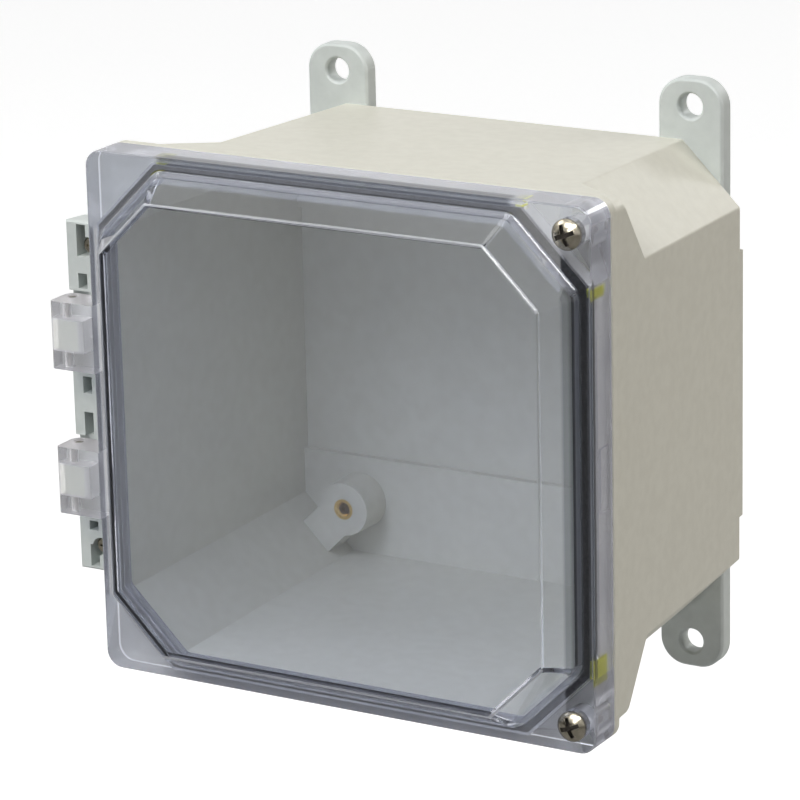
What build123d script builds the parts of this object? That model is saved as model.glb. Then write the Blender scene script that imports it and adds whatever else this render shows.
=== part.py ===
"""Wall-mount enclosure: moulded box, hinged clear cover, captive screws and mounting feet.

X runs to the right, Z up, and the cover faces -Y. The wall is the plane Y = 0, and the origin is the
centre of the four foot holes on it. Heights above the wall are counted towards the cover.
"""

import os
from math import sqrt

from build123d import *

# Feet and their holes
foot_inset_x = 23.85
foot_outset_z = 4.25
foot_thickness = 5.8
foot_width = 22.8
foot_hole_radius = 4.0
foot_hole_chamfer = 0.7
foot_end_margin = 8.9
foot_length = 45.9
foot_outer_corner = 9.0
foot_inner_corner = 3.0
foot_edge = 0.8
foot_screw_step = 25.0
foot_screw_radius = 2.1
foot_screw_head_radius = 4.6
foot_screw_length = 13.2
foot_screw_sink = 0.2
foot_recess_span = 4.2

# Body
back_clearance = 3.2
body_depth = 104.4
flange_width = 177.7
flange_height = 171.5
flange_thickness = 3.1
flange_corner = 5.5
side_lip = 1.55
top_lip = 3.35
side_taper = 5.0
top_taper = 3.4
wall = 3.0
corner_leg = 20.2
gusset_depth = 27.6
gusset_flat = 11.7
gusset_leg = 21.2
body_corner = 3.5
body_edge = 1.6
flange_edge = 0.6
centre_band_height = 89.0
inner_band_height = 84.4

# Rim and joint between body and cover
rim_thickness = 3.2
rim_clearance = 1.35
rim_leg = 21.1
seam = 0.3
gasket_thickness = 3.2
gasket_clearance = 0.2
gasket_width = 2.9
gasket_side_clearance = 0.9

# Panel bosses
panel_inset_x = 31.35
panel_inset_z = 28.25
boss_radius = 9.2
boss_height = 12.0
boss_taper = 0.5
arm_width = 13.4
arm_drop = 0.4
panel_insert_radius = 3.6
panel_insert_length = 9.5
panel_thread_radius = 2.0
insert_mouth = 0.5
insert_hole_spare = 0.6
foot_insert_radius = 3.2
foot_insert_length = 7.0
thread_clearance = 0.05

# Cover
skirt_depth = 12.5
skirt_thickness = 2.0
plate_thickness = 3.2
pad_clearance = 1.2
rib_thickness = 1.25
raise_height = 12.5
raise_margin = 4.2
raise_inset = 7.5
raise_leg = 22.4
raise_wall = 3.2
pane_thickness = 3.0
pane_edge = 1.2
pane_corner = 1.6
raise_corner = 5.5
raise_foot = 1.0
ceiling_corner = 1.0
cover_edge = 0.5
tab_length = 20.0
tab_thickness = 0.9
tab_depth = 6.0

# Cover screws and what they go into
screw_inset_x = 7.75
screw_inset_z = 8.65
screw_radius = 2.4
screw_length = 17.3
screw_head_radius = 4.8
screw_head_height = 3.0
screw_head_rim = 1.0
screw_tip = 0.8
screw_hole_clearance = 0.5
recess_span = 6.6
recess_slot = 1.4
recess_depth = 2.1
recess_turn = 20
retainer_radius = 4.3
retainer_thickness = 1.0
retainer_bite = 0.5
retainer_play = 0.05
retainer_rest = 0.7
retainer_travel = 6.8
retainer_room = 0.5
retainer_gap = 1.6
cover_insert_radius = 3.5
cover_insert_length = 8.5
cover_insert_clearance = 0.45

# Hinge
knuckle_reach = 16.15
knuckle_depth = 11.5
knuckle_length = 22.4
knuckle_upper_z = 23.6
knuckle_lower_z = -24.8
knuckle_edge = 0.8
knuckle_round = 3.7
pin_from_left = 3.8
pin_from_front = 7.6
pin_radius = 1.6
pin_clearance = 0.05
pin_recess = 0.3
lug_length = 10.2
lug_clearance = 0.3
lug_left = 3.1
lug_right = 6.2
lug_front = 4.7
lug_round = 1.2
slot_room = 0.3
front_web = 1.6

# Hinge rail
rail_half_length = 58.5
rail_overhang = 1.0
rail_front_gap = 0.5
rail_thickness = 8.4
rail_taper = 2.3
rail_body_gap = 0.15
rail_flange_gap = 0.45
rail_edge = 0.6
rail_lip = 4.3
pocket_width = 3.4
pocket_depth = 6.6
pocket_spans = [(46.9, 57.4), (36.3, 41.3), (1.4, 7.0), (-13.0, -4.9), (-45.0, -41.8), (-57.4, -49.9)]
relief_depth = 2.2
relief_spare = 0.6
relief_width = 8.3
rail_screw_z = 50.4
rail_screw_inset = 8.4
rail_screw_radius = 1.5
rail_screw_length = 10.0
rail_screw_head_radius = 2.8
rail_screw_head_height = 1.8
rail_screw_head_edge = 0.6
rail_screw_seat = 3.4
rail_screw_room = 0.35
rail_screw_slot = 0.6
ear_width = 13.0
ear_tip = 5.0
ear_slope = 7.5
ear_reach = 3.0

# Worked out from the sizes above
root_two = sqrt(2)
octagon_step = 2 - root_two
touch = 0.01
flange_front = back_clearance + body_depth
flange_rear = flange_front - flange_thickness
band_plane = foot_thickness
half_width = flange_width / 2
half_height = flange_height / 2
foot_spacing_x = flange_width - 2 * foot_inset_x
foot_spacing_z = flange_height + 2 * foot_outset_z
panel_spacing_x = flange_width - 2 * panel_inset_x
panel_spacing_z = flange_height - 2 * panel_inset_z
body_half_width = half_width - side_lip
body_half_height = half_height - top_lip
back_half_width = body_half_width - side_taper
back_half_height = body_half_height - top_taper
gusset_start = flange_front - gusset_depth
gusset_end = flange_front - gusset_flat
floor_plane = band_plane + wall
centre_floor = back_clearance + wall
rim_half_width = half_width - skirt_thickness - rim_clearance
rim_half_height = half_height - skirt_thickness - rim_clearance
inner_width = half_width - skirt_thickness
inner_height = half_height - skirt_thickness
pad_leg = rim_leg + 2 * rim_clearance - root_two * pad_clearance
cover_rear = flange_front + seam
cover_front = cover_rear + skirt_depth
plate_rear = cover_front - plate_thickness
rim_front = plate_rear - gasket_thickness - gasket_clearance
pane_front = cover_front + raise_height
boss_top = floor_plane + boss_height
arm_top = boss_top - arm_drop
foot_end = foot_spacing_z / 2 + foot_end_margin
foot_screw_x = foot_spacing_x / 2
foot_screw_z = foot_spacing_z / 2 - foot_screw_step
screw_x = half_width - screw_inset_x
screw_z = half_height - screw_inset_z
knuckle_left = half_width + knuckle_reach
knuckle_rear = cover_front - knuckle_depth
pin_x = pin_from_left - knuckle_left
pin_height = cover_front - pin_from_front
rail_front = knuckle_rear - rail_front_gap
rail_rear = rail_front - rail_thickness
rail_left = knuckle_left + rail_overhang
rail_screw_x = rail_left - rail_screw_inset
lug_rise = pin_height + lug_front - rail_front + relief_depth
knuckle_centres = {"upper": knuckle_upper_z, "lower": knuckle_lower_z}
sides = {"upper": 1, "lower": -1}
corners = {"upper_left": (-1, 1), "upper_right": (1, 1), "lower_left": (-1, -1), "lower_right": (1, -1)}


def facing(height, x=0.0, z=0.0):
    """A plane at a height above the wall that faces the cover's side, with local axes X and Z."""
    return Plane(origin=(x, -height, z), x_dir=(1, 0, 0), z_dir=(0, -1, 0))


def backing(height, x=0.0, z=0.0):
    """A plane at a height above the wall that faces the wall, with local axes X and -Z."""
    return Plane(origin=(x, -height, z), x_dir=(1, 0, 0), z_dir=(0, 1, 0))


def upright(x, z):
    """A plane through a place on the panel, with local axes X and height above the wall."""
    return Plane(origin=(x, 0, z), x_dir=(1, 0, 0), z_dir=(0, 0, -1))


def octagon(height, half_x, half_z, leg, corner=0):
    """A rectangle with its corners cut off by legs of one length, as a section at a height."""
    with BuildSketch(facing(height)) as section:
        Rectangle(2 * half_x, 2 * half_z)
        chamfer(section.vertices(), leg)
        if corner:
            fillet(section.vertices(), corner)
    return section.sketch


def outer_half(height):
    """Half width and half height of the body's drafted walls at a height above the wall."""
    share = (height - back_clearance) / (flange_rear - back_clearance)
    return back_half_width + share * side_taper, back_half_height + share * top_taper


def at_height(shapes, height):
    """The shapes that lie at one height above the wall."""
    return shapes.filter_by_position(Axis.Y, -height - touch, -height + touch)


def write(part, name):
    part.label = name
    export_step(part, f"parts/{name}.step")


def ring_insert(name, plane, outer, bore, length):
    """A brass insert with a chamfered mouth at its plane."""
    with BuildPart() as insert:
        with BuildSketch(plane):
            Circle(outer)
        extrude(amount=-length)
        with Locations(plane):
            CounterSinkHole(bore, bore + insert_mouth)
    write(insert.part, name)


os.makedirs("parts", exist_ok=True)

# Body: drafted block, its corners cut by a tall chamfer and by the gusset that runs out to the flange
with BuildPart() as enclosure_body:
    for height in (flange_rear, back_clearance):
        wide, tall = outer_half(height)
        with BuildSketch(facing(height)):
            RectangleRounded(2 * wide, 2 * tall, body_corner)
    loft()
    cut_back = (sum(outer_half(0)) - corner_leg) / root_two
    cut_start = (sum(outer_half(gusset_start)) - gusset_leg) / root_two
    cut_end = sum(outer_half(gusset_end)) / root_two
    for side_x, side_z in corners.values():
        diagonal = Plane(origin=(0, 0, 0), x_dir=(side_x, 0, side_z), z_dir=(side_z, 0, -side_x))
        with BuildSketch(diagonal):
            with BuildLine():
                Polyline(
                    (cut_back, 0),
                    (cut_start, gusset_start),
                    (cut_end, gusset_end),
                    (cut_end + half_height, gusset_end),
                    (cut_end + half_height, 0),
                    close=True,
                )
            make_face()
        extrude(amount=half_height, both=True, mode=Mode.SUBTRACT)
    long_edges = enclosure_body.edges().filter_by(lambda edge: edge.length > gusset_start / 2)
    fillet(long_edges.filter_by(lambda edge: abs(edge.tangent_at(0.5).Y) > 0.9), body_edge)
    # Bands above and below the centre of the back, where the feet seat
    with BuildSketch(facing(0)):
        Rectangle(flange_width, flange_height)
        Rectangle(flange_width, centre_band_height, mode=Mode.SUBTRACT)
    extrude(amount=band_plane, mode=Mode.SUBTRACT)
    with BuildSketch(facing(flange_rear)):
        RectangleRounded(flange_width, flange_height, flange_corner)
    extrude(amount=flange_thickness)
    chamfer(at_height(enclosure_body.edges(), flange_front), flange_edge)
    extrude(octagon(flange_front, rim_half_width, rim_half_height, rim_leg), amount=rim_front - flange_front)
    # Ears on the left wall that carry the hinge rail
    ear_root = outer_half(rail_rear)[0] - wall / 2
    ear_end = rail_left - rail_taper - ear_reach
    for side in sides.values():
        with BuildSketch(Plane.XY.offset(side * rail_screw_z)):
            with BuildLine():
                Polyline(
                    (-ear_root, -rail_rear),
                    (-ear_end, -rail_rear),
                    (-ear_end, ear_tip - rail_rear),
                    (-ear_root, ear_tip + ear_slope - rail_rear),
                    close=True,
                )
            make_face()
        extrude(amount=ear_width / 2, both=True)
    # Cavity, from the rim's opening to the floor bands and the deeper centre
    inner_wide, inner_tall = (half - wall for half in outer_half(floor_plane))
    inner_leg = corner_leg - wall * octagon_step
    opening = octagon(
        rim_front,
        rim_half_width - rim_thickness,
        rim_half_height - rim_thickness,
        rim_leg - rim_thickness * octagon_step,
    )
    loft([opening, octagon(floor_plane, inner_wide, inner_tall, inner_leg)], mode=Mode.SUBTRACT)
    with BuildSketch(facing(floor_plane)):
        Rectangle(2 * inner_wide, inner_band_height)
    extrude(amount=centre_floor - floor_plane, mode=Mode.SUBTRACT)
    # Bosses for the inner panel, each with an arm out to the cut corner
    boss_x, boss_z = panel_spacing_x / 2, panel_spacing_z / 2
    arm_reach = (inner_wide + inner_tall - inner_leg - boss_x - boss_z) / root_two + wall / 2
    for side_x, side_z in corners.values():
        for height, radius in ((floor_plane, boss_radius + boss_taper), (boss_top, boss_radius)):
            with BuildSketch(facing(height, side_x * boss_x, side_z * boss_z)):
                Circle(radius)
        loft()
        outward = Plane(
            origin=(side_x * boss_x, -floor_plane, side_z * boss_z), x_dir=(side_x, 0, side_z), z_dir=(0, -1, 0)
        )
        with BuildSketch(outward):
            Rectangle(arm_reach, arm_width, align=(Align.MIN, Align.CENTER))
        extrude(amount=arm_top - floor_plane)
    # Holes for the inserts and the rail screws
    with Locations(facing(boss_top)):
        with GridLocations(panel_spacing_x, panel_spacing_z, 2, 2):
            Hole(panel_insert_radius, depth=panel_insert_length + insert_hole_spare)
    with Locations(facing(flange_front)):
        with Locations((screw_x, screw_z), (screw_x, -screw_z)):
            Hole(cover_insert_radius, depth=cover_insert_length + insert_hole_spare)
    with Locations(backing(band_plane)):
        with GridLocations(2 * foot_screw_x, 2 * foot_screw_z, 2, 2):
            Hole(foot_insert_radius, depth=foot_insert_length + insert_hole_spare)
    with Locations(facing(rail_rear)):
        with Locations((-rail_screw_x, rail_screw_z), (-rail_screw_x, -rail_screw_z)):
            Hole(rail_screw_radius, depth=rail_screw_length - rail_thickness + rail_screw_seat)
write(enclosure_body.part, "enclosure_body")

# Hinge rail: a cored strip with two lugs that stand into the cover's knuckles
with BuildPart() as hinge_rail:
    with BuildSketch(Plane.XY):
        with BuildLine():
            Polyline(
                (-rail_left, -rail_front),
                (-half_width - rail_flange_gap, -rail_front),
                (-half_width - rail_flange_gap, rail_body_gap - flange_rear),
                (-outer_half(flange_rear)[0] - rail_body_gap, rail_body_gap - flange_rear),
                (-outer_half(rail_rear)[0] - rail_body_gap, -rail_rear),
                (rail_taper - rail_left, -rail_rear),
                close=True,
            )
        make_face()
    extrude(amount=rail_half_length, both=True)
    chamfer(at_height(hinge_rail.edges(), rail_front), rail_edge)
    for low, high in pocket_spans:
        with BuildSketch(facing(rail_front)):
            with Locations((rail_lip + pocket_width / 2 - rail_left, (low + high) / 2)):
                Rectangle(pocket_width, high - low)
        extrude(amount=-pocket_depth, mode=Mode.SUBTRACT)
    for centre in knuckle_centres.values():
        with BuildSketch(facing(rail_front)):
            with Locations((relief_width / 2 - rail_left, centre)):
                Rectangle(relief_width, knuckle_length + 2 * relief_spare)
        extrude(amount=-relief_depth, mode=Mode.SUBTRACT)
        with BuildSketch(Plane.XY.offset(centre)) as lug:
            with Locations((pin_x - lug_left, -pin_height - lug_front)):
                Rectangle(lug_left + lug_right, lug_rise, align=(Align.MIN, Align.MIN))
            fillet(lug.vertices().group_by(Axis.Y)[0], lug_round)
        extrude(amount=lug_length / 2, both=True)
        with BuildSketch(Plane.XY.offset(centre)):
            with Locations((pin_x, -pin_height)):
                Circle(pin_radius)
        extrude(amount=lug_length, both=True, mode=Mode.SUBTRACT)
    with Locations(facing(rail_front)):
        with Locations((-rail_screw_x, rail_screw_z), (-rail_screw_x, -rail_screw_z)):
            CounterBoreHole(
                rail_screw_radius + thread_clearance,
                rail_screw_head_radius + rail_screw_room,
                rail_screw_seat,
            )
write(hinge_rail.part, "hinge_rail")

for name, side in sides.items():
    seat = facing(rail_front - rail_screw_seat, -rail_screw_x, side * rail_screw_z)
    with BuildPart() as screw:
        with BuildSketch(seat):
            Circle(rail_screw_head_radius)
        extrude(amount=rail_screw_head_height)
        chamfer(screw.edges().sort_by(Axis.Y)[0], rail_screw_head_edge)
        with BuildSketch(seat):
            Circle(rail_screw_radius)
        extrude(amount=-rail_screw_length)
        with BuildSketch(seat.offset(rail_screw_head_height)):
            Rectangle(rail_screw_head_radius, rail_screw_slot)
            Rectangle(rail_screw_slot, rail_screw_head_radius)
        extrude(amount=-rail_screw_head_height / 2, mode=Mode.SUBTRACT)
    write(screw.part, f"rail_screw_{name}")

# Clear cover: plate and skirt, corner pads, raised window and hinge knuckles
raise_wide = half_width - raise_margin
raise_tall = half_height - raise_margin
hollow_wide = raise_wide - raise_wall
hollow_tall = raise_tall - raise_wall
hollow_leg = raise_leg - raise_wall * octagon_step
hollow_rise = raise_height - pane_thickness
hollow_inset = raise_inset * hollow_rise / raise_height
slot_left = knuckle_left + slot_room
slot_right = slot_room + sqrt(lug_right**2 + lug_front**2) + pin_x
with BuildPart() as clear_cover:
    with BuildSketch(facing(cover_rear)):
        RectangleRounded(flange_width, flange_height, flange_corner)
    extrude(amount=skirt_depth)
    fillet(at_height(clear_cover.edges(), cover_front), cover_edge)
    pane = octagon(
        pane_front,
        raise_wide - raise_inset,
        raise_tall - raise_inset,
        raise_leg - raise_inset * octagon_step,
        pane_corner,
    )
    loft([octagon(cover_front, raise_wide, raise_tall, raise_leg, raise_corner), pane])
    fillet(at_height(clear_cover.edges(), pane_front), pane_edge)
    at_plate = at_height(clear_cover.edges(), cover_front)
    at_foot = at_plate.filter_by_position(Axis.X, -raise_wide - touch, raise_wide + touch)
    at_foot = at_foot.filter_by_position(Axis.Z, -raise_tall - touch, raise_tall + touch)
    fillet(at_foot, raise_foot)
    # The left edge grows into the two knuckles
    for centre in knuckle_centres.values():
        with BuildSketch(Plane.XY.offset(centre)) as knuckle:
            with Locations((-knuckle_left, -cover_front)):
                Rectangle(knuckle_reach + skirt_thickness / 2, knuckle_depth, align=(Align.MIN, Align.MIN))
            front_corner, rear_corner = knuckle.vertices().group_by(Axis.X)[0].sort_by(Axis.Y)
            chamfer(front_corner, knuckle_edge)
            fillet(rear_corner, knuckle_round)
        extrude(amount=knuckle_length / 2, both=True)
    # Channel for the rim and gasket, the rib inside it, and the window's hollow
    extrude(
        octagon(cover_rear, inner_width, inner_height, pad_leg), amount=plate_rear - cover_rear, mode=Mode.SUBTRACT
    )
    rib = octagon(
        plate_rear - gasket_thickness,
        hollow_wide + rib_thickness,
        hollow_tall + rib_thickness,
        hollow_leg + rib_thickness * octagon_step,
    )
    extrude(rib, amount=gasket_thickness)
    hollow = octagon(cover_front, hollow_wide, hollow_tall, hollow_leg, raise_corner - raise_wall)
    extrude(hollow, amount=-skirt_depth, mode=Mode.SUBTRACT)
    ceiling = octagon(
        cover_front + hollow_rise,
        hollow_wide - hollow_inset,
        hollow_tall - hollow_inset,
        hollow_leg - hollow_inset * octagon_step,
        ceiling_corner,
    )
    loft([hollow, ceiling], mode=Mode.SUBTRACT)
    # Thicker clear tabs at the middle of the top, bottom and right sides of the skirt
    with BuildSketch(facing(cover_rear)):
        with Locations((0, inner_height), (0, -inner_height)):
            Rectangle(tab_length, 2 * tab_thickness)
        with Locations((inner_width, 0)):
            Rectangle(2 * tab_thickness, tab_length)
    extrude(amount=tab_depth)
    # Slots in the knuckles for the rail's lugs, and the pin holes
    for centre in knuckle_centres.values():
        with BuildSketch(facing(cover_front - front_web)):
            with Locations((-slot_left, centre)):
                Rectangle(slot_left + slot_right, lug_length + 2 * lug_clearance, align=(Align.MIN, Align.CENTER))
        extrude(amount=-knuckle_depth, mode=Mode.SUBTRACT)
        with BuildSketch(Plane.XY.offset(centre)):
            with Locations((pin_x, -pin_height)):
                Circle(pin_radius + pin_clearance)
        extrude(amount=knuckle_length, both=True, mode=Mode.SUBTRACT)
    # Screw holes with room for the retainers
    with Locations(backing(cover_rear)):
        with Locations((screw_x, screw_z), (screw_x, -screw_z)):
            Hole(screw_radius + screw_hole_clearance, depth=skirt_depth)
            Hole(retainer_radius + retainer_room, depth=retainer_rest + retainer_thickness + retainer_travel)
write(clear_cover.part, "clear_cover")

# Gasket, seated on the plate outside the rib
gasket_wide = inner_width - gasket_side_clearance
gasket_tall = inner_height - gasket_side_clearance
gasket_leg = pad_leg - gasket_side_clearance * octagon_step
gasket_rear = plate_rear - gasket_thickness
with BuildPart() as gasket:
    extrude(octagon(gasket_rear, gasket_wide, gasket_tall, gasket_leg), amount=gasket_thickness)
    inside = octagon(
        gasket_rear,
        gasket_wide - gasket_width,
        gasket_tall - gasket_width,
        gasket_leg - gasket_width * octagon_step,
    )
    extrude(inside, amount=gasket_thickness, mode=Mode.SUBTRACT)
write(gasket.part, "gasket")

for name, centre in knuckle_centres.items():
    with BuildPart() as pin:
        with BuildSketch(Plane.XY.offset(centre)):
            with Locations((pin_x, -pin_height)):
                Circle(pin_radius)
        extrude(amount=knuckle_length / 2 - pin_recess, both=True)
        chamfer(pin.edges().filter_by(GeomType.CIRCLE), pin_recess)
    write(pin.part, f"hinge_pin_{name}")

# Cover screws: domed head with a crossed recess, and a groove that holds the retainer
groove_radius = screw_radius - retainer_bite
retainer_base = cover_rear + retainer_rest
retainer_top = retainer_base + retainer_thickness
screw_end = cover_front - screw_length
dome_rise = screw_head_height - screw_head_rim
dome_radius = (screw_head_radius**2 + dome_rise**2) / (2 * dome_rise)
dome_x = screw_head_radius / 2
dome_top = cover_front + screw_head_height
for name, side in sides.items():
    place = upright(screw_x, side * screw_z)
    with BuildPart() as screw:
        with BuildSketch(place):
            with BuildLine():
                ThreePointArc(
                    (0, dome_top),
                    (dome_x, dome_top - dome_radius + sqrt(dome_radius**2 - dome_x**2)),
                    (screw_head_radius, cover_front + screw_head_rim),
                )
                Polyline(
                    (screw_head_radius, cover_front + screw_head_rim),
                    (screw_head_radius, cover_front),
                    (screw_radius, cover_front),
                    (screw_radius, retainer_top + retainer_play),
                    (groove_radius, retainer_top + retainer_play),
                    (groove_radius, retainer_base - retainer_play),
                    (screw_radius, retainer_base - retainer_play),
                    (screw_radius, screw_end + screw_tip),
                    (screw_radius - screw_tip, screw_end),
                    (0, screw_end),
                    (0, dome_top),
                )
            make_face()
        revolve(axis=Axis(place.origin, place.y_dir))
        with BuildSketch(facing(dome_top, screw_x, side * screw_z)):
            Rectangle(recess_span, recess_slot, rotation=recess_turn)
            Rectangle(recess_slot, recess_span, rotation=recess_turn)
        extrude(amount=-recess_depth, mode=Mode.SUBTRACT)
    write(screw.part, f"cover_screw_{name}")

    with BuildPart() as retainer:
        with BuildSketch(facing(retainer_base, screw_x, side * screw_z)):
            Circle(retainer_radius)
            Circle(groove_radius + retainer_play, mode=Mode.SUBTRACT)
            Rectangle(retainer_gap, retainer_radius, align=(Align.CENTER, Align.MIN), mode=Mode.SUBTRACT)
        extrude(amount=retainer_thickness)
    write(retainer.part, f"screw_retainer_{name}")

    ring_insert(
        f"cover_insert_{name}",
        facing(flange_front, screw_x, side * screw_z),
        cover_insert_radius,
        screw_radius + cover_insert_clearance,
        cover_insert_length,
    )

# Feet with their screws and inserts, and the inserts for the inner panel
for name, (side_x, side_z) in corners.items():
    foot_x = side_x * foot_spacing_x / 2
    fastener_z = side_z * foot_screw_z
    with BuildPart() as foot:
        with BuildSketch(facing(0)) as outline:
            with Locations((foot_x, side_z * (foot_end - foot_length / 2))):
                Rectangle(foot_width, foot_length)
            fillet(outline.vertices().sort_by(lambda corner: abs(corner.Y))[2:], foot_outer_corner)
            fillet(outline.vertices().sort_by(lambda corner: abs(corner.Y))[:2], foot_inner_corner)
        extrude(amount=foot_thickness)
        chamfer(at_height(foot.edges(), foot_thickness), foot_edge)
        with Locations(facing(foot_thickness, foot_x, side_z * foot_spacing_z / 2)):
            CounterSinkHole(foot_hole_radius, foot_hole_radius + foot_hole_chamfer)
        with Locations(backing(0, foot_x, fastener_z)):
            CounterSinkHole(
                foot_screw_radius + 2 * thread_clearance, foot_screw_head_radius + foot_screw_sink + thread_clearance
            )
    write(foot.part, f"mounting_foot_{name}")

    with BuildPart() as screw:
        with BuildSketch(upright(foot_x, fastener_z)):
            with BuildLine():
                Polyline(
                    (0, foot_screw_sink),
                    (foot_screw_head_radius, foot_screw_sink),
                    (foot_screw_radius, foot_screw_sink + foot_screw_head_radius - foot_screw_radius),
                    (foot_screw_radius, foot_screw_length),
                    (0, foot_screw_length),
                    close=True,
                )
            make_face()
        revolve(axis=Axis((foot_x, 0, fastener_z), (0, -1, 0)))
        with BuildSketch(backing(foot_screw_sink, foot_x, fastener_z)):
            Rectangle(foot_recess_span, recess_slot)
            Rectangle(recess_slot, foot_recess_span)
        extrude(amount=-recess_depth, mode=Mode.SUBTRACT)
    write(screw.part, f"foot_screw_{name}")

    ring_insert(
        f"foot_insert_{name}",
        backing(band_plane, foot_x, fastener_z),
        foot_insert_radius,
        foot_screw_radius + thread_clearance,
        foot_insert_length,
    )
    ring_insert(
        f"panel_insert_{name}",
        facing(boss_top, side_x * boss_x, side_z * boss_z),
        panel_insert_radius,
        panel_thread_radius,
        panel_insert_length,
    )
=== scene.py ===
"""Wall-mount enclosure: finishes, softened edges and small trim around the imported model."""

from math import cos, radians, sin

import bpy
from mathutils import Matrix, Vector


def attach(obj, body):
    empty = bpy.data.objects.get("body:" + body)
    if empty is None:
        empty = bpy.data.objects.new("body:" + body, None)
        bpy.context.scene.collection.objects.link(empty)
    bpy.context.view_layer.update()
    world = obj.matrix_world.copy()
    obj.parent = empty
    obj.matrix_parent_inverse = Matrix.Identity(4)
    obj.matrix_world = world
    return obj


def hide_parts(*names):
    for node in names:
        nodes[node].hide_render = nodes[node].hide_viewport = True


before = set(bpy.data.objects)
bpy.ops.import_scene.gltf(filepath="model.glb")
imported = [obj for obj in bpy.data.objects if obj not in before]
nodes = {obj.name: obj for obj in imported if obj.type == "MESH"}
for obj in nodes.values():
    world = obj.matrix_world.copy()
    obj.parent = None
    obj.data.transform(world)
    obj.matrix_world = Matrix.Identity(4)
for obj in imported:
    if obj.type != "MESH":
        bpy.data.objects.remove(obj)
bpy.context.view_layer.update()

CORNERS = ("upper_left", "upper_right", "lower_left", "lower_right")
ENDS = ("upper", "lower")

# The cover's regions, in metres
KNUCKLE_RIGHT = -0.0889
PLATE_FRONT = -0.1205
HOLLOW_WIDE = 0.0813
HOLLOW_TALL = 0.0782
HOLLOW_SUM = 0.1392
PANE_EDGE_REAR = -0.1322
PANE_RIGHT = 0.060
PANE_STRAIGHT_HALF = 0.046
RIGHT_BAND = 0.0790
TOP_BAND = 0.0817

# The cover's and the screws' materials, by slot, after the first
BORDER, KNUCKLES, EDGES = 1, 2, 3
RECESS = 1

# The cover screws' recesses and the rail's lugs
SCREW_X = 0.0811
SCREW_Z = {"upper": 0.0771, "lower": -0.0771}
RECESS_FLOOR = -0.1213
RECESS_REACH = 0.0036
LUG_X = -0.0999
LUG_HALF_WIDTH = 0.0046
LUG_HALF_LENGTH = 0.0048
LUG_Z = (0.0236, -0.0248)
LUG_TONE = (0.70, 0.69, 0.62)

# Where dabs of adhesive show through the border: across, up, half width and half height
GLUE_SPOTS = (
    (-0.0621, 0.0822, 0.0026, 0.0020),
    (0.0640, 0.0826, 0.0018, 0.0009),
    (0.0884, 0.0592, 0.0012, 0.0014),
    (0.0884, -0.0590, 0.0012, 0.0040),
)
GLUE_FADE = 0.0006
GLUE_TONE = (0.48, 0.48, 0.10)

# The beads of adhesive lie in the gap between the gasket and the skirt
TOP_GAP = 0.0833
SIDE_GAP = 0.0864
GAP_HALF = 0.00034
BEAD_FRONT = -0.1171
BEAD_TAPER = 0.65

# The brightness of the surroundings: the floor's own glow, and what lit surfaces get all round
FLOOR_GLOW = 0.80
AMBIENT = 0.02

# The camera that took the photo, in degrees, metres and millimetres
CAMERA_TURN = (30.2518, 16.8562, -1.3271)
CAMERA_PLACE = (0.63437, -1.16862, 0.38637)
CAMERA_LENS = 187.895

# A Mix node's sockets for colours
MIX_FIRST, MIX_SECOND, MIX_RESULT = 6, 7, 2


# Small helpers for selecting and finishing pieces

def deselect():
    bpy.ops.object.select_all(action="DESELECT")


def pick(piece):
    """Makes a piece the only selected one."""
    deselect()
    piece.select_set(True)
    bpy.context.view_layer.objects.active = piece


def apply_all(piece):
    pick(piece)
    for modifier in list(piece.modifiers):
        bpy.ops.object.modifier_apply(modifier=modifier.name)


def set_finish(piece, material):
    piece.data.materials.clear()
    piece.data.materials.append(material)


def place_node(node, join_flat=True):
    """A copy of a node's mesh as a piece, its doubled corners joined, and its flat faces too."""
    piece = bpy.data.objects.new(node + "_visual", nodes[node].data.copy())
    bpy.context.scene.collection.objects.link(piece)
    pick(piece)
    bpy.ops.object.mode_set(mode="EDIT")
    bpy.ops.mesh.select_all(action="SELECT")
    bpy.ops.mesh.remove_doubles(threshold=0.000004)
    if join_flat:
        bpy.ops.mesh.dissolve_limited(angle_limit=radians(0.4))
    bpy.ops.object.mode_set(mode="OBJECT")
    return piece


def softened(node, name, body, material, edge, segments=3, turn=30, join_flat=True):
    """A copy of a node with its long edges rounded by a small radius, shown in its place."""
    piece = place_node(node, join_flat)
    piece.name = name
    bevel = piece.modifiers.new("edges", "BEVEL")
    bevel.width = edge
    bevel.segments = segments
    bevel.limit_method = "ANGLE"
    bevel.angle_limit = radians(turn)
    bevel.use_clamp_overlap = True
    bevel.miter_outer = "MITER_ARC"
    apply_all(piece)
    bpy.ops.object.shade_smooth_by_angle(angle=radians(turn + 12))
    weighted = piece.modifiers.new("normals", "WEIGHTED_NORMAL")
    weighted.keep_sharp = True
    weighted.weight = 90
    apply_all(piece)
    set_finish(piece, material)
    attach(piece, body)
    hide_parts(node)
    return piece


# Materials

def shader_nodes(name):
    material = bpy.data.materials.new(name)
    material.use_nodes = True
    tree = material.node_tree
    return material, tree, tree.nodes["Principled BSDF"], tree.nodes["Material Output"]


def noise(tree, scale, detail=2.0, roughness=0.5):
    place = tree.nodes.new("ShaderNodeTexCoord")
    texture = tree.nodes.new("ShaderNodeTexNoise")
    texture.inputs["Scale"].default_value = scale
    texture.inputs["Detail"].default_value = detail
    texture.inputs["Roughness"].default_value = roughness
    tree.links.new(place.outputs["Object"], texture.inputs["Vector"])
    return texture.outputs["Fac"]


def tinted(tree, factor, low, high, start=0.35, end=0.65):
    """Two near tones of one colour, mixed by a pattern."""
    ramp = tree.nodes.new("ShaderNodeValToRGB")
    ramp.color_ramp.elements[0].position = start
    ramp.color_ramp.elements[0].color = (*low, 1)
    ramp.color_ramp.elements[1].position = end
    ramp.color_ramp.elements[1].color = (*high, 1)
    tree.links.new(factor, ramp.inputs["Fac"])
    return ramp.outputs["Color"]


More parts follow.
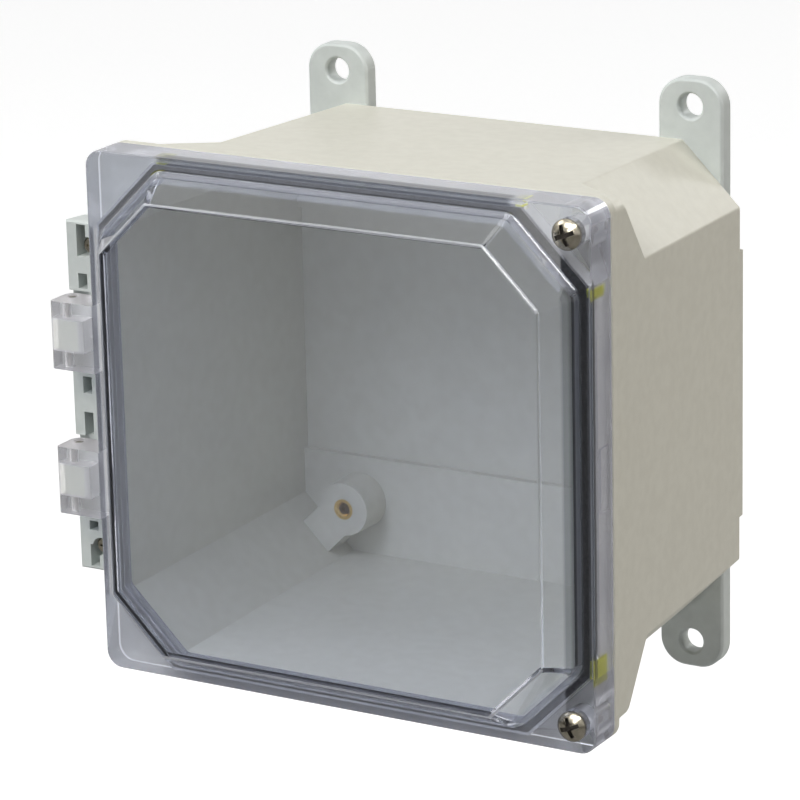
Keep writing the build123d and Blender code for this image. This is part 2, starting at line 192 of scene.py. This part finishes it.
def bumped(tree, shader, height, strength, distance):
    bump = tree.nodes.new("ShaderNodeBump")
    bump.inputs["Strength"].default_value = strength
    bump.inputs["Distance"].default_value = distance
    tree.links.new(height, bump.inputs["Height"])
    tree.links.new(bump.outputs["Normal"], shader.inputs["Normal"])


def spread(tree, factor, low, high):
    """Maps a pattern on to a range of values."""
    mapped = tree.nodes.new("ShaderNodeMapRange")
    mapped.inputs["To Min"].default_value = low
    mapped.inputs["To Max"].default_value = high
    tree.links.new(factor, mapped.inputs["Value"])
    return mapped.outputs["Result"]


def moulding(name, low, high, roughness, grain):
    """Moulded plastic: a faint mottle, a fine grain and a soft sheen."""
    material, tree, shader, _ = shader_nodes(name)
    tree.links.new(tinted(tree, noise(tree, 240, 4), low, high), shader.inputs["Base Color"])
    sheen = spread(tree, noise(tree, 60, 3), roughness - 0.05, roughness + 0.05)
    tree.links.new(sheen, shader.inputs["Roughness"])
    bumped(tree, shader, noise(tree, 1500, 3), 0.35, grain)
    return material


def clear_plastic(name, tint, deep_tint, lamp_tint, roughness, clearness):
    """Clear polycarbonate that lets the lamps through to what it covers."""
    material, tree, shader, output = shader_nodes(name)
    tree.links.new(tinted(tree, noise(tree, 45, 3), deep_tint, tint), shader.inputs["Base Color"])
    shader.inputs["Transmission Weight"].default_value = clearness
    shader.inputs["IOR"].default_value = 1.5
    tree.links.new(spread(tree, noise(tree, 25, 2), *roughness), shader.inputs["Roughness"])
    path = tree.nodes.new("ShaderNodeLightPath")
    clear = tree.nodes.new("ShaderNodeBsdfTransparent")
    clear.inputs["Color"].default_value = (*lamp_tint, 1)
    mix = tree.nodes.new("ShaderNodeMixShader")
    tree.links.new(path.outputs["Is Shadow Ray"], mix.inputs[0])
    tree.links.new(shader.outputs["BSDF"], mix.inputs[1])
    tree.links.new(clear.outputs["BSDF"], mix.inputs[2])
    tree.links.new(mix.outputs["Shader"], output.inputs["Surface"])
    return material


def soft_step(tree, axis, start, end, either_side=False):
    """Rises from nought to one as a coordinate goes from start to end."""
    place = tree.nodes.new("ShaderNodeTexCoord")
    split = tree.nodes.new("ShaderNodeSeparateXYZ")
    tree.links.new(place.outputs["Object"], split.inputs["Vector"])
    value = split.outputs[axis]
    if either_side:
        size = tree.nodes.new("ShaderNodeMath")
        size.operation = "ABSOLUTE"
        tree.links.new(value, size.inputs[0])
        value = size.outputs["Value"]
    step = tree.nodes.new("ShaderNodeMapRange")
    step.inputs["From Min"].default_value = start
    step.inputs["From Max"].default_value = end
    tree.links.new(value, step.inputs["Value"])
    return step.outputs["Result"]


def between_pads(tree, axis):
    """One along the straight middle of a side, nought at the corner pads."""
    reach = {"X": 0.063, "Z": 0.062}[axis]
    return soft_step(tree, axis, reach, reach - 0.002, True)


def region(tree, *steps):
    """One where every soft step is one."""
    inside = steps[0]
    for step in steps[1:]:
        both = tree.nodes.new("ShaderNodeMath")
        both.operation = "MULTIPLY"
        tree.links.new(inside, both.inputs[0])
        tree.links.new(step, both.inputs[1])
        inside = both.outputs["Value"]
    return inside


def shade_region(tree, inside, colour):
    """Gives a region of a clear moulding another tone: painted shade or light in some places, the
    colour of what lies behind in others.
    """
    shader = tree.nodes["Principled BSDF"]
    before = shader.inputs["Base Color"].links[0].from_socket
    mix = tree.nodes.new("ShaderNodeMix")
    mix.data_type = "RGBA"
    mix.inputs[MIX_SECOND].default_value = (*colour, 1)
    tree.links.new(inside, mix.inputs["Factor"])
    tree.links.new(before, mix.inputs[MIX_FIRST])
    tree.links.new(mix.outputs[MIX_RESULT], shader.inputs["Base Color"])


def haze_region(tree, inside, clear, hazy):
    """Makes a region of a clear moulding hazier than the rest."""
    amount = tree.nodes.new("ShaderNodeMapRange")
    amount.inputs["To Min"].default_value = clear
    amount.inputs["To Max"].default_value = hazy
    tree.links.new(inside, amount.inputs["Value"])
    shader = tree.nodes["Principled BSDF"]
    tree.links.new(amount.outputs["Result"], shader.inputs["Transmission Weight"])


def show_lugs(material):
    """Gives the knuckles' plastic a warmer tone where the rail's lugs stand behind it."""
    tree = material.node_tree
    place = tree.nodes.new("ShaderNodeTexCoord")
    split = tree.nodes.new("ShaderNodeSeparateXYZ")
    tree.links.new(place.outputs["Object"], split.inputs["Vector"])

    def near(axis, centre, reach):
        band = tree.nodes.new("ShaderNodeMath")
        band.operation = "COMPARE"
        band.inputs[1].default_value = centre
        band.inputs[2].default_value = reach
        tree.links.new(split.outputs[axis], band.inputs[0])
        return band.outputs["Value"]

    shown = tree.nodes.new("ShaderNodeMath")
    shown.operation = "MAXIMUM"
    for socket, centre in enumerate(LUG_Z):
        tree.links.new(near("Z", centre, LUG_HALF_LENGTH), shown.inputs[socket])
    behind = region(tree, shown.outputs["Value"], near("X", LUG_X, LUG_HALF_WIDTH))
    shade_region(tree, behind, LUG_TONE)


def metal(name, low, high, roughness, scale):
    material, tree, shader, _ = shader_nodes(name)
    tree.links.new(tinted(tree, noise(tree, scale, 3), low, high), shader.inputs["Base Color"])
    sheen = spread(tree, noise(tree, scale * 2, 2), roughness, roughness + 0.12)
    tree.links.new(sheen, shader.inputs["Roughness"])
    shader.inputs["Metallic"].default_value = 1
    bumped(tree, shader, noise(tree, scale * 3, 2), 0.2, 0.00004)
    return material


def foam(name):
    material, tree, shader, _ = shader_nodes(name)
    tone = tinted(tree, noise(tree, 900, 2), (0.030, 0.032, 0.040), (0.065, 0.069, 0.080))
    tree.links.new(tone, shader.inputs["Base Color"])
    shader.inputs["Roughness"].default_value = 0.8
    bumped(tree, shader, noise(tree, 2600, 1), 0.5, 0.0001)
    return material


beige = moulding("beige_moulding", (0.665, 0.652, 0.565), (0.70, 0.688, 0.60), 0.42, 0.00003)
pale_grey = moulding("pale_grey_moulding", (0.60, 0.64, 0.62), (0.64, 0.68, 0.66), 0.40, 0.00002)
window_clear = clear_plastic(
    "clear_window", (0.78, 0.81, 0.895), (0.765, 0.795, 0.88), (0.598, 0.618, 0.667),
    (0.0, 0.003), 1.0,
)
border_clear = clear_plastic(
    "clear_border", (0.62, 0.63, 0.675), (0.54, 0.55, 0.60), (0.72, 0.73, 0.76),
    (0.05, 0.14), 0.70,
)
knuckle_clear = clear_plastic(
    "clear_knuckles", (0.72, 0.70, 0.71), (0.65, 0.63, 0.64), (0.72, 0.73, 0.76),
    (0.25, 0.35), 0.62,
)
show_lugs(knuckle_clear)
edge_clear = clear_plastic(
    "clear_edges", (0.90, 0.92, 0.97), (0.80, 0.82, 0.88), (0.72, 0.73, 0.76),
    (0.08, 0.16), 0.60,
)

# Painted shade on the skirt's front edges beside the gasket, at the right and at the top
tree = border_clear.node_tree
right_band = soft_step(tree, "X", RIGHT_BAND, RIGHT_BAND + 0.0004)
top_band = soft_step(tree, "Z", TOP_BAND, TOP_BAND + 0.0003)
painted_shade_right = region(tree, right_band, between_pads(tree, "Z"), soft_step(tree, "Y", -0.1188, -0.1192))
painted_shade_top = region(tree, top_band, between_pads(tree, "X"), soft_step(tree, "Y", -0.1154, -0.1162))
shade_region(tree, painted_shade_right, (0.11, 0.125, 0.15))
shade_region(tree, painted_shade_top, (0.09, 0.10, 0.125))
for x, z, half_x, half_z in GLUE_SPOTS:
    spot = region(
        tree,
        soft_step(tree, "X", x - half_x - GLUE_FADE, x - half_x),
        soft_step(tree, "X", x + half_x + GLUE_FADE, x + half_x),
        soft_step(tree, "Z", z - half_z - GLUE_FADE, z - half_z),
        soft_step(tree, "Z", z + half_z + GLUE_FADE, z + half_z),
        soft_step(tree, "Y", -0.1120, -0.1128),
    )
    shade_region(tree, spot, GLUE_TONE)

# The plate's front has painted shade in a strip at the left, in a strip at the top and on the upper
# left pad, a painted highlight along a line at the left, painted light on the upper right pad, and
# its own tone on the knuckles
tree = window_clear.node_tree
plate = (soft_step(tree, "Y", -0.1198, -0.1202), soft_step(tree, "Y", -0.1212, -0.1208))
upper = soft_step(tree, "Z", 0.060, 0.064)
middle = between_pads(tree, "Z")
painted_shade_left_strip = (soft_step(tree, "X", -0.0867, -0.0870), soft_step(tree, "X", -0.0890, -0.0888))
knuckle_fronts = (soft_step(tree, "X", -0.0888, -0.0891),)
painted_highlight_left_line = (soft_step(tree, "X", -0.0850, -0.0853), soft_step(tree, "X", -0.0868, -0.0865))
painted_shade_top_strip = (soft_step(tree, "Z", 0.0834, 0.0837), between_pads(tree, "X"))
painted_shade_left_pad = (soft_step(tree, "X", -0.062, -0.066), upper)
painted_light_right_pad = (soft_step(tree, "X", 0.062, 0.066), upper)
for steps, tone in (
    ((*painted_shade_left_strip, middle), (0.32, 0.33, 0.38)),
    (knuckle_fronts, (0.93, 0.94, 0.97)),
    ((*painted_highlight_left_line, middle), (1.0, 1.0, 1.0)),
    (painted_shade_top_strip, (0.20, 0.215, 0.25)),
    (painted_shade_left_pad, (0.60, 0.62, 0.67)),
    (painted_light_right_pad, (1.0, 1.0, 1.0)),
):
    shade_region(tree, region(tree, *steps, *plate), tone)

# The foot of the raise is hazy, but for painted shade in a band at the right
painted_shade_right_foot = region(
    tree,
    soft_step(tree, "X", RIGHT_BAND, RIGHT_BAND + 0.0004),
    middle,
    soft_step(tree, "Y", -0.1240, -0.1230),
)
foot_haze = region(
    tree,
    soft_step(tree, "Y", -0.1230, -0.1218),
    soft_step(tree, "X", RIGHT_BAND, RIGHT_BAND - 0.0006),
)
haze_region(tree, foot_haze, 1.0, 0.78)
shade_region(tree, painted_shade_right_foot, (0.25, 0.27, 0.31))

black_foam = foam("black_foam")
bright_steel = metal("bright_steel", (0.21, 0.19, 0.145), (0.34, 0.31, 0.25), 0.16, 400)
# Painted shade for the faces inside the screws' recesses
painted_shade_recess = metal("painted_shade_recess", (0.05, 0.045, 0.04), (0.10, 0.09, 0.08), 0.45, 400)
brass = metal("machined_brass", (0.66, 0.45, 0.16), (0.80, 0.58, 0.24), 0.25, 700)
adhesive = moulding("yellow_adhesive", (0.62, 0.66, 0.03), (0.80, 0.80, 0.06), 0.35, 0.00002)
dull_adhesive = moulding("dull_adhesive", (0.10, 0.12, 0.06), (0.16, 0.18, 0.09), 0.4, 0.00002)
nylon = moulding("natural_nylon", (0.72, 0.72, 0.68), (0.78, 0.78, 0.74), 0.35, 0.00001)

# The box, the hinge rail and the feet. The box's flat faces stay apart, since a joined rim
# would be one ring-shaped face round the opening.
softened("enclosure_body", "box_shell", "box", beige, 0.0007, join_flat=False)
softened("hinge_rail", "hinge_strip", "box", pale_grey, 0.0004)
for corner in CORNERS:
    softened(f"mounting_foot_{corner}", f"foot_{corner}", "box", pale_grey, 0.0003)
    set_finish(nodes[f"foot_screw_{corner}"], bright_steel)
    set_finish(nodes[f"foot_insert_{corner}"], brass)
    set_finish(nodes[f"panel_insert_{corner}"], brass)

# The clear cover: its window is clearer than the thick border and the knuckles
cover = softened("clear_cover", "cover_moulding", "cover", window_clear, 0.0003)
for material in (border_clear, knuckle_clear, edge_clear):
    cover.data.materials.append(material)
for face in cover.data.polygons:
    wide, tall = abs(face.center.x), abs(face.center.z)
    on_right = face.center.x > PANE_RIGHT and tall < PANE_STRAIGHT_HALF
    on_rounding = face.center.y < PANE_EDGE_REAR and 0.62 < abs(face.normal.y) < 0.985
    in_hollow = wide < HOLLOW_WIDE and tall < HOLLOW_TALL and wide + tall < HOLLOW_SUM
    if face.center.x < KNUCKLE_RIGHT:
        face.material_index = KNUCKLES
    elif on_rounding and not on_right:
        face.material_index = EDGES
    elif face.center.y > PLATE_FRONT and not in_hollow:
        face.material_index = BORDER
set_finish(nodes["gasket"], black_foam)


def gasket_bead(name, x, z, half_x, half_z, rear, material):
    """A dab of adhesive beside the gasket, in the gap between it and the cover's skirt."""
    deselect()
    middle = (x, (BEAD_FRONT + rear) / 2, z)
    half = (half_x, (rear - BEAD_FRONT) / 2, half_z)
    bpy.ops.mesh.primitive_cube_add(size=2, location=middle, scale=half)
    bead = bpy.context.active_object
    bead.name = name
    bpy.ops.object.transform_apply(location=True, rotation=True, scale=True)
    for face in bead.data.polygons:
        face.select = face.normal.y > 0.9
    bpy.ops.object.mode_set(mode="EDIT")
    bpy.ops.mesh.select_mode(type="FACE")
    along = (BEAD_TAPER, 1, 1) if half_x > half_z else (1, 1, BEAD_TAPER)
    bpy.ops.transform.resize(value=along, center_override=(x, rear, z))
    bpy.ops.object.mode_set(mode="OBJECT")
    soft = bead.modifiers.new("soft", "BEVEL")
    soft.width = 0.00025
    soft.segments = 2
    soft.limit_method = "ANGLE"
    soft.angle_limit = radians(40)
    apply_all(bead)
    bpy.ops.object.shade_smooth_by_angle(angle=radians(50))
    set_finish(bead, material)
    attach(bead, "cover")


gasket_bead("bead_top_left", -0.0621, TOP_GAP, 0.0027, GAP_HALF, -0.1118, adhesive)
gasket_bead("bead_top_middle", 0.0093, TOP_GAP, 0.0032, GAP_HALF, -0.1128, dull_adhesive)
gasket_bead("bead_top_right", 0.0640, TOP_GAP, 0.0021, GAP_HALF, -0.1118, adhesive)
gasket_bead("bead_side_upper", SIDE_GAP, 0.0592, GAP_HALF, 0.0021, -0.1095, adhesive)
gasket_bead("bead_side_lower", SIDE_GAP, -0.0590, GAP_HALF, 0.0045, -0.1095, adhesive)

# The screws, with painted shade in their recesses, and the small metal and nylon parts
for end in ENDS:
    screw = softened(
        f"cover_screw_{end}", f"pan_screw_{end}", f"screw_{end}", bright_steel, 0.00015, 2
    )
    screw.data.materials.append(painted_shade_recess)
    for face in screw.data.polygons:
        from_axis = Vector((face.center.x - SCREW_X, 0, face.center.z - SCREW_Z[end])).length
        on_floor = face.normal.y < -0.99 and face.center.y > RECESS_FLOOR - 0.0002
        on_wall = abs(face.normal.y) < 0.3
        if face.center.y < PLATE_FRONT and from_axis < RECESS_REACH and (on_wall or on_floor):
            face.material_index = RECESS
    set_finish(nodes[f"rail_screw_{end}"], bright_steel)
    set_finish(nodes[f"hinge_pin_{end}"], bright_steel)
    set_finish(nodes[f"cover_insert_{end}"], brass)
    set_finish(nodes[f"screw_retainer_{end}"], nylon)


# Floor, lamps, world and camera

def floor_material():
    """A white floor that keeps shadows and shows as plain white to the camera."""
    material, tree, shader, output = shader_nodes("studio_floor")
    tone = tinted(tree, noise(tree, 3, 2), (0.46, 0.46, 0.46), (0.48, 0.48, 0.48))
    tree.links.new(tone, shader.inputs["Base Color"])
    shader.inputs["Roughness"].default_value = 0.9
    path = tree.nodes.new("ShaderNodeLightPath")
    seen = tree.nodes.new("ShaderNodeMath")
    seen.operation = "MAXIMUM"
    lift = tree.nodes.new("ShaderNodeMath")
    lift.operation = "MULTIPLY"
    lift.inputs[1].default_value = FLOOR_GLOW
    glow = tree.nodes.new("ShaderNodeEmission")
    total = tree.nodes.new("ShaderNodeAddShader")
    tree.links.new(path.outputs["Is Camera Ray"], seen.inputs[0])
    tree.links.new(path.outputs["Is Transmission Ray"], seen.inputs[1])
    tree.links.new(seen.outputs["Value"], lift.inputs[0])
    tree.links.new(lift.outputs["Value"], glow.inputs["Strength"])
    tree.links.new(shader.outputs["BSDF"], total.inputs[0])
    tree.links.new(glow.outputs["Emission"], total.inputs[1])
    tree.links.new(total.outputs["Shader"], output.inputs["Surface"])
    return material


deselect()
bpy.ops.mesh.primitive_plane_add(size=14, location=(0, 2, -0.36))
floor = bpy.context.active_object
floor.name = "studio_floor"
set_finish(floor, floor_material())


def lamp(name, place, size, power, colour=(1, 1, 1)):
    """A soft rectangular lamp, turned to the origin."""
    data = bpy.data.lights.new(name, "AREA")
    data.shape = "RECTANGLE"
    data.size, data.size_y = size
    data.energy = power
    data.color = colour
    light = bpy.data.objects.new(name, data)
    bpy.context.scene.collection.objects.link(light)
    light.location = place
    light.rotation_euler = (-Vector(place)).to_track_quat("-Z", "Y").to_euler()


def reflected_card(name, material, start, end, width):
    """A board from one point to another, turned to the object, that only reflections see."""
    start, end = Vector(start), Vector(end)
    along = (end - start).normalized()
    facing = -((start + end) - (start + end).dot(along) * along).normalized()
    across = facing.cross(along)
    deselect()
    bpy.ops.mesh.primitive_plane_add(size=1)
    card = bpy.context.active_object
    card.name = name
    card.location = (start + end) / 2
    card.rotation_euler = Matrix((along, across, facing)).transposed().to_euler()
    card.scale = ((end - start).length, width, 1)
    card.visible_camera = False
    card.visible_diffuse = False
    card.visible_transmission = False
    card.visible_shadow = False
    set_finish(card, material)


def glowing(name, glow):
    """A lit board's surface, evenly bright but for a faint unevenness."""
    material, tree, shader, _ = shader_nodes(name)
    tone = tinted(tree, noise(tree, 2, 2), (0.96, 0.98, 1.0), (1.0, 1.0, 1.0))
    tree.links.new(tone, shader.inputs["Emission Color"])
    shader.inputs["Emission Strength"].default_value = glow
    shader.inputs["Base Color"].default_value = (0, 0, 0, 1)
    material.cycles.emission_sampling = "NONE"
    return material


dark_card, tree, shader, _ = shader_nodes("dark_card")
tone = tinted(tree, noise(tree, 2, 2), (0.035, 0.032, 0.028), (0.05, 0.046, 0.04))
tree.links.new(tone, shader.inputs["Base Color"])
shader.inputs["Roughness"].default_value = 0.9

lamp("key", (-0.2, -1.85, 1.67), (1.3, 0.9), 35)
lamp("top", (-0.2, -0.4, 2.45), (1.2, 1.2), 16.2)
lamp("left", (-1.7, -1.0, 1.5), (1.0, 1.0), 15.5)
lamp("side", (1.8, 0.7, 0.6), (1.0, 1.0), 18, (1.0, 0.965, 0.93))
bright_card = glowing("bright_card", 16)
low_card = glowing("low_card", 9)
reflected_card("strip_corner", bright_card, (0.12, -1.92, 0.50), (1.10, -0.80, 1.48), 0.4)
reflected_card("strip_back", low_card, (0.82, 1.62, 0.95), (0.38, 1.78, 0.95), 0.35)
reflected_card("card_front", dark_card, (-2.05, -1.28, -0.35), (0.30, -2.39, -0.35), 1.7)
reflected_card("card_right", dark_card, (1.92, 1.09, -0.2), (0.68, 2.11, -0.2), 1.6)

world = bpy.data.worlds.new("studio")
bpy.context.scene.world = world
world.use_nodes = True
tree = world.node_tree
ambient = tree.nodes["Background"]
ambient.inputs["Color"].default_value = (1, 1, 1, 1)
path = tree.nodes.new("ShaderNodeLightPath")


def math_node(operation, first, second):
    step = tree.nodes.new("ShaderNodeMath")
    step.operation = operation
    tree.links.new(first, step.inputs[0])
    if isinstance(second, float):
        step.inputs[1].default_value = second
    else:
        tree.links.new(second, step.inputs[1])
    return step.outputs["Value"]


# White where the camera looks, also through the cover and in reflections, softer for lit surfaces
looked_at = math_node("MAXIMUM", path.outputs["Is Camera Ray"], path.outputs["Is Transmission Ray"])
looked_at = math_node("MAXIMUM", looked_at, path.outputs["Is Glossy Ray"])
straight = math_node("LESS_THAN", path.outputs["Diffuse Depth"], 0.5)
white = math_node("MULTIPLY", looked_at, straight)
bright = tree.nodes.new("ShaderNodeMapRange")
bright.inputs["To Min"].default_value = AMBIENT
bright.inputs["To Max"].default_value = 1.0
tree.links.new(white, bright.inputs["Value"])
tree.links.new(bright.outputs["Result"], ambient.inputs["Strength"])

# The camera stands where the photo was taken from
yaw, pitch, roll = (radians(turn) for turn in CAMERA_TURN)
back = Vector((sin(yaw) * cos(pitch), -cos(yaw) * cos(pitch), sin(pitch)))
level = (-back).cross(Vector((0, 0, 1))).normalized()
rise = level.cross(-back)
right = cos(roll) * level + sin(roll) * rise
up = -sin(roll) * level + cos(roll) * rise
camera_data = bpy.data.cameras.new("photo_camera")
camera_data.sensor_width = 36
camera_data.lens = CAMERA_LENS
camera_data.clip_end = 100
camera = bpy.data.objects.new("photo_camera", camera_data)
bpy.context.scene.collection.objects.link(camera)
camera.matrix_world = Matrix(
    (
        (right.x, up.x, back.x, CAMERA_PLACE[0]),
        (right.y, up.y, back.y, CAMERA_PLACE[1]),
        (right.z, up.z, back.z, CAMERA_PLACE[2]),
        (0, 0, 0, 1),
    )
)
scene = bpy.context.scene
scene.camera = camera
scene.view_settings.view_transform = "Standard"
